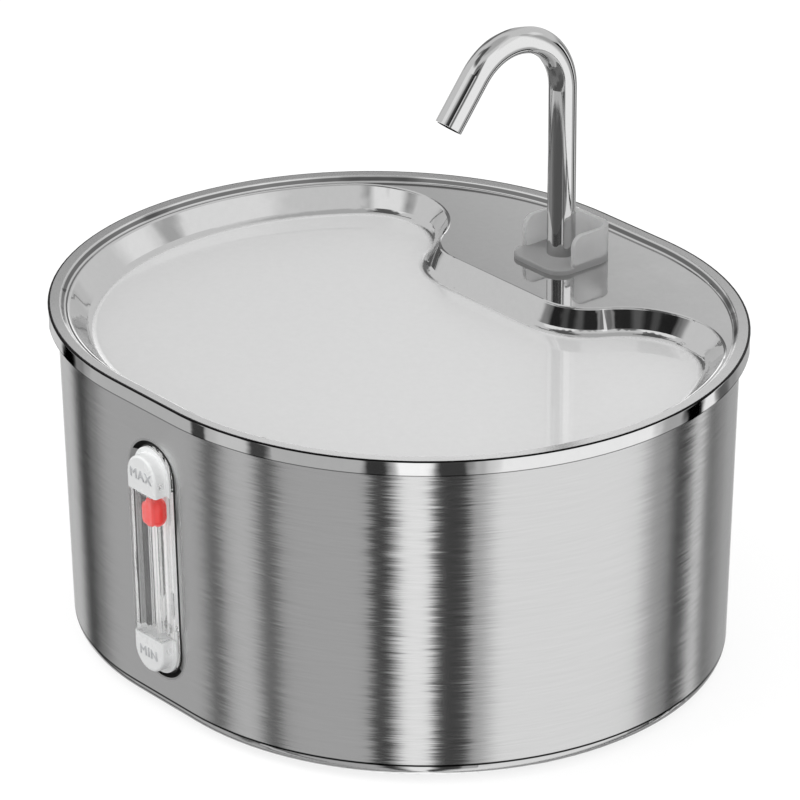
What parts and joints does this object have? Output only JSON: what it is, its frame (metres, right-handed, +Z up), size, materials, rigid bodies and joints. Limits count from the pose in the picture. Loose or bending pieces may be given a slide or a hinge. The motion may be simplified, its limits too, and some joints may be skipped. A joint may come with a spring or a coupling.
{
  "type": "pet water fountain",
  "caption": "Obround steel pet water fountain with a lift-off drinking tray, a gooseneck spout, a level window with a float, and a submersible pump with its filter.",
  "frame": {"origin": "centre of the footprint, on the surface that it stands on", "axes": "+X along the wider side, level window towards -Y, spout and cable gland towards +Y, +Z up"},
  "size_m": [0.24, 0.2121, 0.2005],
  "materials": {
    "brushed_steel": "stainless steel sheet, fine level brushing",
    "polished_steel": "stainless steel sheet, polished flange and shelf, satin basin floor",
    "chrome_tube": "mirror-polished stainless tube",
    "bright_steel": "bright machined steel",
    "clear_silicone": "soft translucent silicone",
    "seal_rubber": "matt black rubber",
    "foot_rubber": "matt dark grey rubber",
    "clear_plastic": "clear polished plastic",
    "white_plastic": "milky white satin plastic",
    "red_plastic": "glossy red plastic",
    "black_plastic": "fine-textured black plastic",
    "grey_plastic": "fine-textured light grey plastic",
    "ferrite": "dark sintered ferrite",
    "core_steel": "stacked steel laminations",
    "copper": "enamelled copper winding",
    "foam": "open-cell foam",
    "fleece": "white filter fleece",
    "carbon": "bed of activated carbon granules"
  },
  "bodies": {
    "tank": {"tank": "brushed_steel", "tank_base": "brushed_steel", "tank_feet": "foot_rubber", "rim_seal": "seal_rubber", "window_gasket": "seal_rubber", "level_window": "clear_plastic", "level_cap_max": "white_plastic", "level_cap_min": "white_plastic", "window_back": "white_plastic", "window_studs": "bright_steel", "window_nuts": "bright_steel", "cable_gland": "black_plastic", "gland_seal": "seal_rubber", "gland_nut": "black_plastic", "pump_housing": "black_plastic", "pump_cover": "black_plastic", "pump_o_ring": "seal_rubber", "pump_shaft": "bright_steel", "shaft_bushes": "seal_rubber", "stator_core": "core_steel", "stator_coil": "copper", "motor_back_plate": "black_plastic", "pump_feet": "foot_rubber", "riser_hose": "clear_silicone", "pump_case": "grey_plastic", "pump_case_lid": "grey_plastic", "foam_prefilter": "foam"},
    "tray": {"drinking_tray": "polished_steel"},
    "seat": {"spout_seat": "clear_silicone"},
    "spout": {"spout_tube": "chrome_tube"},
    "float": {"level_float": "red_plastic"},
    "rotor": {"impeller": "white_plastic", "rotor_magnet": "ferrite"},
    "dial": {"flow_dial": "grey_plastic"},
    "filter": {"filter_frame": "white_plastic", "filter_pads": "fleece", "filter_carbon": "carbon"}
  },
  "joints": [
    {"name": "tray_lift", "type": "slide", "parent": "tank", "child": "tray", "axis": [0, 0, 1], "range_m": [0, 0.12]},
    {"name": "seat_pull", "type": "slide", "parent": "tray", "child": "seat", "axis": [0, 0, 1], "range_m": [0, 0.03]},
    {"name": "spout_swivel", "type": "hinge", "parent": "seat", "child": "spout", "pos_m": [0, 0.0713, 0.1154], "axis": [0, 0, 1], "continuous": true},
    {"name": "float_slide", "type": "slide", "parent": "tank", "child": "float", "axis": [0, -0.0235, 0.9997], "range_m": [-0.0374, 0.0022]},
    {"name": "impeller_spin", "type": "hinge", "parent": "tank", "child": "rotor", "pos_m": [0, 0.0713, 0.0265], "axis": [1, 0, 0], "continuous": true},
    {"name": "flow_adjust", "type": "hinge", "parent": "tank", "child": "dial", "pos_m": [-0.0105, 0.0713, 0.0265], "axis": [1, 0, 0], "range_deg": [0, 60]},
    {"name": "filter_lift", "type": "slide", "parent": "tank", "child": "filter", "axis": [0, 0, 1], "range_m": [0, 0.045]}
  ]
}
